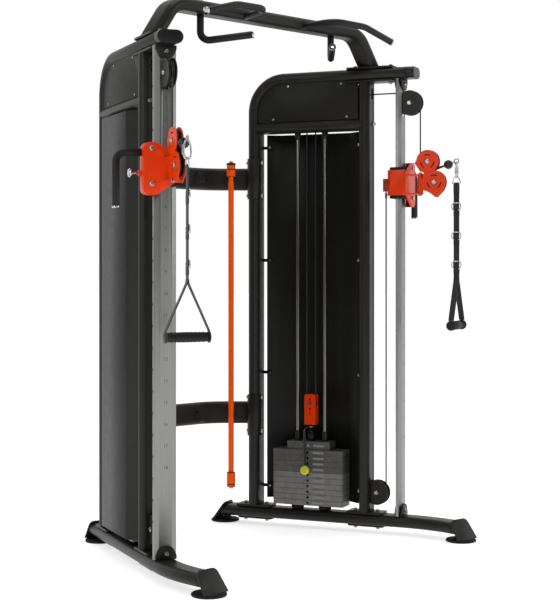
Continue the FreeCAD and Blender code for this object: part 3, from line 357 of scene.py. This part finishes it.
for side, s in SIDES:
    n = lambda a: a + "_" + side
    finish_node(n("lifted_plates"), IRON, 0, rule_of(lambda u, v, z, d: (PLASTIC if d.x < 60 and d.y < 60 else (IRON_DARK if d.z > 30 else None))))
    finish_node(n("selector_stem"), PLASTIC, 0.0008)
    finish_node(n("pulley_block"), ORANGE, 0, rule_of(lambda u, v, z, d: STEEL if d.z < 30 else None))
    finish_node(n("block_pulley"), PLASTIC, 0.0006)
    finish_node(n("selector_pin"), YELLOW, 0.001)
    finish_node(n("carriage"), ORANGE, 0.0012, rule_of(lambda u, v, z, d: None if d.z > 90 else (STEEL if (d.z < 90 and d.x < 30 and (abs(v) < 3 or abs(z - 1459) < 3 or abs(z - 1589) < 3)) else RUBBER)))
    lift = NODES[n("lifted_plates")]
    names = [m.name for m in lift.data.materials]
    if PLASTIC.name not in names:
        lift.data.materials.append(PLASTIC)
        names.append(PLASTIC.name)
    top = max(v.co.z for v in lift.data.vertices) - 0.042
    for p in lift.data.polygons:
        if p.center.z > top:
            p.material_index = names.index(PLASTIC.name)
    car = NODES[n("carriage")]
    names = [m.name for m in car.data.materials]
    if DARKRED.name not in names:
        car.data.materials.append(DARKRED)
        names.append(DARKRED.name)
    for p in car.data.polygons:
        pu, pv, pz, _ = local(p.center)
        if pu < 794.5 and abs(pv) < 14 and 1484 < pz < 1541:
            p.material_index = names.index(DARKRED.name)
    if RUBBER.name not in names:
        car.data.materials.append(RUBBER)
        names.append(RUBBER.name)
    for p in car.data.polygons:
        pu, pv, pz, _ = local(p.center)
        if pu < 871.5 and abs(pv) < 52 and (1452 < pz < 1464.9 or 1575.1 < pz < 1588):
            p.material_index = names.index(RUBBER.name)
    finish_node(n("carriage_handle"), GRIP, 0.001, lambda c, d: CHROME if d.z < 0.02 else None)
    finish_node(n("pop_pin"), CHROME, 0.0006)
    finish_node(n("swivel_bracket"), ORANGE, 0, rule_of(lambda u, v, z, d: STEEL if d.z < 30 else None))
    finish_node(n("swivel_pulley_upper"), PLASTIC, 0.0006)
    finish_node(n("swivel_pulley_lower"), PLASTIC, 0.0006)
    finish_node(n("top_pulley"), PLASTIC, 0.0006)
    finish_node(n("bottom_pulley"), PLASTIC, 0.0006)
    finish_node(n("cable_end"), BALLP, 0, rule_of(lambda u, v, z, d: STEEL if d.z < 30 and u > 1070 else None))
    finish_node(n("hand_grip"), GRIP, 0.001)


# ------------------------------------------------------------------ helpers for new pieces
def mesh_object(name, verts, faces, mat, smooth=True):
    me = bpy.data.meshes.new(name)
    me.from_pydata([tuple(v) for v in verts], [], faces)
    bm = bmesh.new()
    bm.from_mesh(me)
    bmesh.ops.recalc_face_normals(bm, faces=bm.faces)
    bm.to_mesh(me)
    bm.free()
    for p in me.polygons:
        p.use_smooth = smooth
    o = bpy.data.objects.new(name, me)
    o.data.materials.append(mat)
    scene.collection.objects.link(o)
    return o


def tube(name, pts, r, mat, n=14, closed=False, ring=None):
    """A tube of rings along points; ring gives the section's (a, b) offsets if it isn't round."""
    pts = [Vector(p) for p in pts]
    count = len(pts)
    verts, faces = [], []
    sec = ring or [(r * math.cos(2 * math.pi * i / n), r * math.sin(2 * math.pi * i / n)) for i in range(n)]
    n = len(sec)
    t0 = (pts[1] - pts[0]).normalized()
    ref = Vector((0, 0, 1)) if abs(t0.z) < 0.9 else Vector((1, 0, 0))
    a = t0.cross(ref).normalized()
    for i, p in enumerate(pts):
        if closed:
            t = (pts[(i + 1) % count] - pts[i - 1]).normalized()
        else:
            t = (pts[min(i + 1, count - 1)] - pts[max(i - 1, 0)]).normalized()
        a = (a - t * a.dot(t)).normalized()
        b = t.cross(a)
        verts += [p + a * x + b * y for x, y in sec]
    rings = count if closed else count - 1
    for i in range(rings):
        j = (i + 1) % count
        for k in range(n):
            faces.append((i * n + k, i * n + (k + 1) % n, j * n + (k + 1) % n, j * n + k))
    if not closed:
        faces.append(tuple(range(n - 1, -1, -1)))
        faces.append(tuple((count - 1) * n + k for k in range(n)))
    return mesh_object(name, verts, faces, mat)


def arc(c, r, a0, a1, s, n=14, v=0.0):
    """Points of an arc in a tower's u-z plane."""
    return [W(c[0] + r * math.cos(math.radians(a0 + (a1 - a0) * i / n)), v, c[1] + r * math.sin(math.radians(a0 + (a1 - a0) * i / n)), s) for i in range(n + 1)]


def run(a, b, n=8):
    return [a.lerp(b, i / n) for i in range(n + 1)]


# ------------------------------------------------------------------ cables held by the machine
CR = 0.003
for side, s in SIDES:
    n = lambda a: a + "_" + side
    top = tube(n("cable_over_top_pulley"), [W(640, 0, 1911, s), W(860, 0, 1911, s)] + arc((886, 1866), 45, 90, 0, s), CR, CABLE)
    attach(top, "frame")
    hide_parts(n("column_cable"))
    a, b = W(931, 0, 1866, s), W(931, 0, 1610, s)
    down = tube(n("cable_to_swivel"), run(a, b), CR, CABLE)
    n("slider")
    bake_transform(down)
    a, b = W(775, 0, 1484, s), W(775, 0, 173, s)
    low = tube(n("cable_to_anchor"), run(a, b, 16), CR, CABLE)
    n("slider")
    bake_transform(low)
    bot = tube(n("cable_under_bottom_pulley"), arc((735, 173), 40, 0, -90, s) + [W(712, 0, 133, s)], CR, CABLE)
    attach(bot, "frame")
    # swivel: down the left of the upper pulley, under it, and out between the two
    round_ = tube(n("cable_round_swivel"), arc((966, 1610), 35, 180, 283, s), CR, CABLE)
    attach(round_, n("swivel"))
    t = math.radians(283)
    a = W(966 + 35 * math.cos(t), 0, 1610 + 35 * math.sin(t), s)
    b = W(1040, 0, 1591.3, s)
    out = tube(n("cable_to_ball"), run(a, b, 6), CR, CABLE)
    n("swivel")
    n("cable_tip")
    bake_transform(out)
    for k, du in (("front", 21), ("rear", -21)):
        a, b = W(425 + du, -3.1, 1756, s), W(425 + du, -3.1, 547.5, s)
        c = tube(n("stack_cable_" + k), run(a, b, 16), CR, CABLE)
        n("stack")
        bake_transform(c)
        if k == "front":
            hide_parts(n("stack_cable"))
    under = tube(n("stack_cable_under_pulley"), arc((425, 547.5), 21, 180, 360, s, v=-3.1), CR, CABLE)
    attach(under, n("stack"))
    # crimped end fitting above the anchor block
    fit = tube(n("anchor_fitting"), [W(775, 0, 1478, s), W(775, 0, 1476, s), W(775, 0, 1458, s), W(775, 0, 1455, s)], 0.0055, STEEL)
    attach(fit, n("slider"))


# ------------------------------------------------------------------ strap: carabiner, rings, webbing
def link_points(uc, zt, zb, half, s, plane="u", n=10):
    def q(a, z):
        return W(uc + a, 0, z, s) if plane == "u" else W(uc, a, z, s)
    pts = []
    for i in range(n + 1):
        a = math.pi * i / n
        pts.append(q(half * math.cos(a), zt + half * math.sin(a)))
    for i in range(n + 1):
        a = math.pi + math.pi * i / n
        pts.append(q(half * math.cos(a), zb + half * math.sin(a)))
    return pts


def band(name, pts, wide_dir, wide, thick, mat):
    """A flat strap along points: a rounded flat section, its width kept along wide_dir."""
    w = Vector(wide_dir).normalized()
    pts = [Vector(p) for p in pts]
    sec = []
    hw, ht = wide / 2, thick / 2
    for x, y in ((hw, -ht * 0.4), (hw, ht * 0.4), (hw - ht, ht), (0, ht * 1.05), (-hw + ht, ht), (-hw, ht * 0.4), (-hw, -ht * 0.4), (-hw + ht, -ht), (0, -ht * 1.05), (hw - ht, -ht)):
        sec.append((x, y))
    verts, faces, n = [], [], len(sec)
    for i, p in enumerate(pts):
        t = (pts[min(i + 1, len(pts) - 1)] - pts[max(i - 1, 0)]).normalized()
        b = t.cross(w).normalized()
        verts += [p + w * x + b * y for x, y in sec]
    for i in range(len(pts) - 1):
        for k in range(n):
            faces.append((i * n + k, i * n + (k + 1) % n, (i + 1) * n + (k + 1) % n, (i + 1) * n + k))
    faces.append(tuple(range(n - 1, -1, -1)))
    faces.append(tuple((len(pts) - 1) * n + k for k in range(n)))
    return mesh_object(name, verts, faces, mat, smooth=False)


for side, s in SIDES:
    n = lambda a: a + "_" + side
    body = n("grip_set")
    UX = 1092
    udir = W(1, 0, 0, s) - W(0, 0, 0, s)
    # carabiner: pear-shaped loop across the strap, wider at the bottom, with a straight gate
    pts = []
    for i in range(40):
        a = 2 * math.pi * i / 40
        z = 1570.5 + 34.5 * math.sin(a)
        half = 13.5 + 3.0 * (-math.sin(a))
        pts.append(W(UX, half * (abs(math.cos(a)) ** 0.75) * (1 if math.cos(a) >= 0 else -1), z, s))
    carab = tube(n("carabiner"), pts, 0.0034, CHROME, n=12, closed=True)
    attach(carab, body)
    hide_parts(n("hand_strap"))
    gate = tube(n("carabiner_gate"), [W(UX, 16.0, 1552, s), W(UX, 16.2, 1556, s), W(UX, 15.6, 1582, s), W(UX, 15.0, 1586, s)], 0.0046, STEEL)
    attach(gate, body)
    tri = []
    for (x0, z0), (x1, z1) in (((-5, 1542), (5, 1542)), ((9, 1540), (18, 1517)), ((17, 1512.5), (-17, 1512.5)), ((-18, 1517), (-9, 1540))):
        tri += [W(UX + x0 + (x1 - x0) * k / 4, 0, z0 + (z1 - z0) * k / 4, s) for k in range(5)]
    dring = tube(n("strap_ring"), tri, 0.0024, CHROME, n=10, closed=True)
    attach(dring, body)
    # main webbing: doubled, with a stitched loop at the top
    main = [W(UX, 0, z, s) for z in (1512.5, 1500, 1460, 1420, 1380, 1330, 1280, 1230, 1180, 1140, 1104)]
    w1 = band(n("strap_webbing"), main, udir, 0.025, 0.0032, WEB)
    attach(w1, body)
    loop_ = band(n("strap_loop"), [W(UX, 4.2 * math.sin(a), 1512.6 + 4.2 * math.cos(a), s) for a in [math.radians(d) for d in range(-150, 151, 20)]], udir, 0.022, 0.0016, WEB)
    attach(loop_, body)
    for k, (z, l) in enumerate(((1490, 34), (1390, 26), (1265, 26), (1141, 26))):
        patch = band(n("strap_patch_%d" % k), [W(UX, 0, z + l / 2, s), W(UX, 0, z, s), W(UX, 0, z - l / 2, s)], udir, 0.0264, 0.0066, WEB)
        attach(patch, body)
    for k, z in enumerate((1414, 1289, 1165)):
        pr = tube(n("strap_rings_%d" % k), [W(UX + 20.5 * math.copysign(abs(math.cos(a)) ** 0.7, math.cos(a)), -2.4 - 1.2 * math.sin(a), z + 16 * math.copysign(abs(math.sin(a)) ** 0.8, math.sin(a)), s) for a in [2 * math.pi * i / 32 for i in range(32)]], 0.0022, CHROME, n=8, closed=True)
        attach(pr, body)
        hold = band(n("strap_keeper_%d" % k), [W(UX, -6.9, z + 13, s), W(UX, -7.4, z, s), W(UX, -6.9, z - 13, s)], udir, 0.0255, 0.0016, WEB)
        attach(hold, body)
    # the two legs open out to the ends of the grip and wrap it
    for k, g in (("a", 1), ("b", -1)):
        leg = [W(UX, 1.6 * g, 1112, s), W(UX, 3.2 * g, 1098, s), W(UX, 12 * g, 1078, s), W(UX, 44 * g, 1010, s), W(UX, 74 * g, 945, s), W(UX, 81.5 * g, 929, s)]
        l1 = band(n("strap_leg_" + k), leg, udir, 0.025, 0.0026, WEB)
        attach(l1, body)
        wrap = []
        for d in range(0, 361, 20):
            a = math.radians(90 + d)
            wrap.append(W(UX + 20.2 * math.cos(a), 81.2 * g, 908 + 20.2 * math.sin(a), s))
        vd = W(0, 1, 0, s) - W(0, 0, 0, s)
        l2 = band(n("strap_wrap_" + k), wrap, vd, 0.005, 0.0022, WEB)
        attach(l2, body)
    # moulded ribs round the grip
    ribs = []
    for i in range(9):
        v0 = -60 + 15 * i
        ribs.append(tube(n("grip_rib_%d" % i), [W(UX + 18.0 * math.cos(a), v0, 908 + 18.0 * math.sin(a), s) for a in [2 * math.pi * j / 28 for j in range(28)]], 0.0012, GRIP, n=6, closed=True))
    for r in ribs:
        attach(r, body)

    # ---------------------------------------------------------------- weight stack: lanyard, hole liners, painted shade in the plate joints, labels, badge
    stack = n("stack")
    WT, WL = 24.6, 102
    front = -3.1 - 47.5
    for i in range(10):
        z = WL + (i + 0.5) * WT
        b_ = "frame" if i < 6 else stack
        if i != 6:
            ring_ = tube(n("hole_liner_%d" % i), [W(425 + 6.0 * math.cos(a), front - 0.2, z + 6.0 * math.sin(a), s) for a in [2 * math.pi * j / 20 for j in range(20)]], 0.0007, IRON_DARK, n=6, closed=True)
            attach(ring_, b_)
        if i:
            # a thin dark band round each plate joint: painted shade where the plates meet
            zs, hl, hw = WL + i * WT, 165, 47.5
            rows = []
            for off in (0.25, -0.8):
                for zz in (zs - 1.5, zs + 0.1):
                    rows.append([W(425 + su * (hl + off), -3.1 + sv * (hw + off), zz, s) for su, sv in ((1, 1), (1, -1), (-1, -1), (-1, 1))])
            fs = []
            for k in range(4):
                j = (k + 1) % 4
                fs += [(k, j, 4 + j, 4 + k), (8 + j, 8 + k, 12 + k, 12 + j), (4 + k, 4 + j, 12 + j, 12 + k), (j, k, 8 + k, 8 + j)]
            joint_shade = mesh_object(n("plate_joint_%d" % i), rows[0] + rows[1] + rows[2] + rows[3], fs, JOINT_SHADE, smooth=False)
            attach(joint_shade, "frame" if i <= 6 else stack)
        e = 0.5
        x0, x1 = 452, 500
        lab = mesh_object(n("plate_label_%d" % i), [W(x0, front - e, z - 4.5, s), W(x1, front - e, z - 4.5, s), W(x1 + 3, front - e, z, s), W(x1, front - e, z + 4.5, s), W(x0, front - e, z + 4.5, s), W(x0 - 3, front - e, z, s),
                                                        W(x0, front + e, z - 4.5, s), W(x1, front + e, z - 4.5, s), W(x1 + 3, front + e, z, s), W(x1, front + e, z + 4.5, s), W(x0, front + e, z + 4.5, s), W(x0 - 3, front + e, z, s)],
                          [(0, 1, 2, 3, 4, 5), (11, 10, 9, 8, 7, 6)] + [(k, (k + 1) % 6, (k + 1) % 6 + 6, k + 6) for k in range(6)], LABEL, smooth=False)
        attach(lab, b_)
    hz, hf = 366, -43.1
    lab = mesh_object(n("head_label"), [W(u, hf - e, z, s) for u, z in ((452, 361.5), (500, 361.5), (503, 366), (500, 370.5), (452, 370.5), (449, 366))] + [W(u, hf + 0.5, z, s) for u, z in ((452, 361.5), (500, 361.5), (503, 366), (500, 370.5), (452, 370.5), (449, 366))],
                      [(0, 1, 2, 3, 4, 5), (11, 10, 9, 8, 7, 6)] + [(k, (k + 1) % 6, (k + 1) % 6 + 6, k + 6) for k in range(6)], LABEL, smooth=False)
    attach(lab, stack)
    dotp = tube(n("head_badge"), [W(425, hf + 0.6, hz, s), W(425, hf - 0.4, hz, s), W(425, hf - 0.9, hz, s)], 0.0062, STEEL, n=24)
    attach(dotp, stack)
    # lanyard: a wire hook on the stem and a flat strap down to the pin
    hook = tube(n("lanyard_hook"), [W(425, -13, 446, s), W(424, -24, 448, s), W(421, -42, 446, s), W(418, -60, 441, s), W(417, -68, 436, s), W(417, -69, 431, s)], 0.0014, CHROME, n=8)
    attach(hook, stack)
    collar = tube(n("lanyard_ring"), [W(425 + 12.4 * math.cos(a), -3.1 + 12.4 * math.sin(a), 446, s) for a in [2 * math.pi * j / 24 for j in range(24)]], 0.0016, CHROME, n=8, closed=True)
    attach(collar, stack)
    la, lb = W(417, -69, 437, s), W(425, -70.5, 272, s)
    udir = W(1, 0, 0, s) - W(0, 0, 0, s)
    lany = band(n("pin_lanyard"), run(la, lb, 10), udir, 0.012, 0.0016, WEB)
    n("pin")
    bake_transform(lany)

# ------------------------------------------------------------------ numbers on the columns
def number(name, text, size, origin, xdir, zdir, mat, body):
    cu = bpy.data.curves.new(name, "FONT")
    cu.body = text
    cu.size = size
    cu.extrude = 0.00004
    cu.align_x, cu.align_y = "CENTER", "CENTER"
    tmp = bpy.data.objects.new(name + "_t", cu)
    scene.collection.objects.link(tmp)
    bpy.context.view_layer.update()
    me = bpy.data.meshes.new_from_object(tmp)
    bpy.data.objects.remove(tmp)
    x, z = Vector(xdir).normalized(), Vector(zdir).normalized()
    y = x.cross(z) * -1
    rot = Matrix((x, z, x.cross(z))).transposed().to_4x4()
    me.transform(Matrix.Translation(Vector(origin)) @ rot)
    me.materials.clear()
    me.materials.append(mat)
    o = bpy.data.objects.new(name, me)
    scene.collection.objects.link(o)
    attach(o, body)
    return o


for side, s in SIDES:
    fu = 854.4 + 0.02
    vd = W(0, 1, 0, s) - W(0, 0, 0, s)
    # text reads from left to right for someone in front of the tower
    xd = vd * (1 if s > 0 else -1)
    k = 1
    while k <= 18:
        z = 1777 - 80 * (k - 1)
        number("column_number_%s_%d" % (side, k), str(k), 0.017, W(fu, 0, z, s), xd, (0, 0, 1), INK, "frame")
        k += 1

# ------------------------------------------------------------------ floor, backdrop and studio light
seg = 96
R = 60
verts = [(R * math.cos(2 * math.pi * j / seg), R * math.sin(2 * math.pi * j / seg), -0.0005) for j in range(seg)] + [(0, 0, -0.0005)]
faces = [(seg, j, (j + 1) % seg) for j in range(seg)]
white, nt, bs = nodes_of("studio_white")
grain = nt.nodes.new("ShaderNodeTexNoise")
grain.inputs["Scale"].default_value = 3
gr = nt.nodes.new("ShaderNodeValToRGB")
gr.color_ramp.elements[0].color = (0.80, 0.80, 0.80, 1)
gr.color_ramp.elements[1].color = (0.84, 0.84, 0.84, 1)
link(nt, grain.outputs["Fac"], gr.inputs["Fac"])
link(nt, gr.outputs["Color"], bs.inputs["Base Color"])
bs.inputs["Roughness"].default_value = 0.9
bs.inputs["Specular IOR Level"].default_value = 0.1
bs.inputs["Emission Color"].default_value = (1, 1, 1, 1)
bs.inputs["Emission Strength"].default_value = 0.60
floor = mesh_object("studio_floor", verts, faces, white, smooth=False)

# A bright backdrop on one side of the room, falling off to dimmer walls on the other.
world = bpy.data.worlds.new("world")
scene.world = world
world.use_nodes = True
wn = world.node_tree
wt = wn.nodes.new("ShaderNodeTexCoord")
dot = wn.nodes.new("ShaderNodeVectorMath")
dot.operation = "DOT_PRODUCT"
dot.inputs[1].default_value = (0.7071, 0.7071, 0.0)
wn.links.new(wt.outputs["Generated"], dot.inputs[0])
fall = wn.nodes.new("ShaderNodeMapRange")
fall.inputs["From Min"].default_value, fall.inputs["From Max"].default_value = -0.30, 0.30
fall.inputs["To Min"].default_value, fall.inputs["To Max"].default_value = 0.10, 1.0
wn.links.new(dot.outputs["Value"], fall.inputs["Value"])
wn.nodes["Background"].inputs[0].default_value = (1, 1, 1, 1)
wn.links.new(fall.outputs[0], wn.nodes["Background"].inputs[1])


def area(name, loc, target, size, energy, size_y=None, color=(1, 1, 1)):
    d = bpy.data.lights.new(name, "AREA")
    d.shape = "RECTANGLE"
    d.size, d.size_y = size, size_y or size
    d.energy = energy
    d.color = color
    o = bpy.data.objects.new(name, d)
    o.location = loc
    o.rotation_euler = (Vector(target) - Vector(loc)).to_track_quat("-Z", "Y").to_euler()
    scene.collection.objects.link(o)
    return o


area("key_left", (-5.0, -0.5, 3.6), (-0.4, 0, 1.2), 1.6, 76, 3.6)
area("fill_right", (2.6, -5.2, 3.0), (0.3, 0, 1.1), 2.0, 62, 3.2)
area("front_soft", (-3.4, -4.6, 4.4), (0.1, 0, 1.0), 1.4, 40, 1.4)
area("top_soft", (0, -0.5, 6.5), (0, 0, 1), 3.0, 70)

scene.view_settings.view_transform = "Standard"
scene.view_settings.look = "None"
scene.view_settings.exposure = 0.0
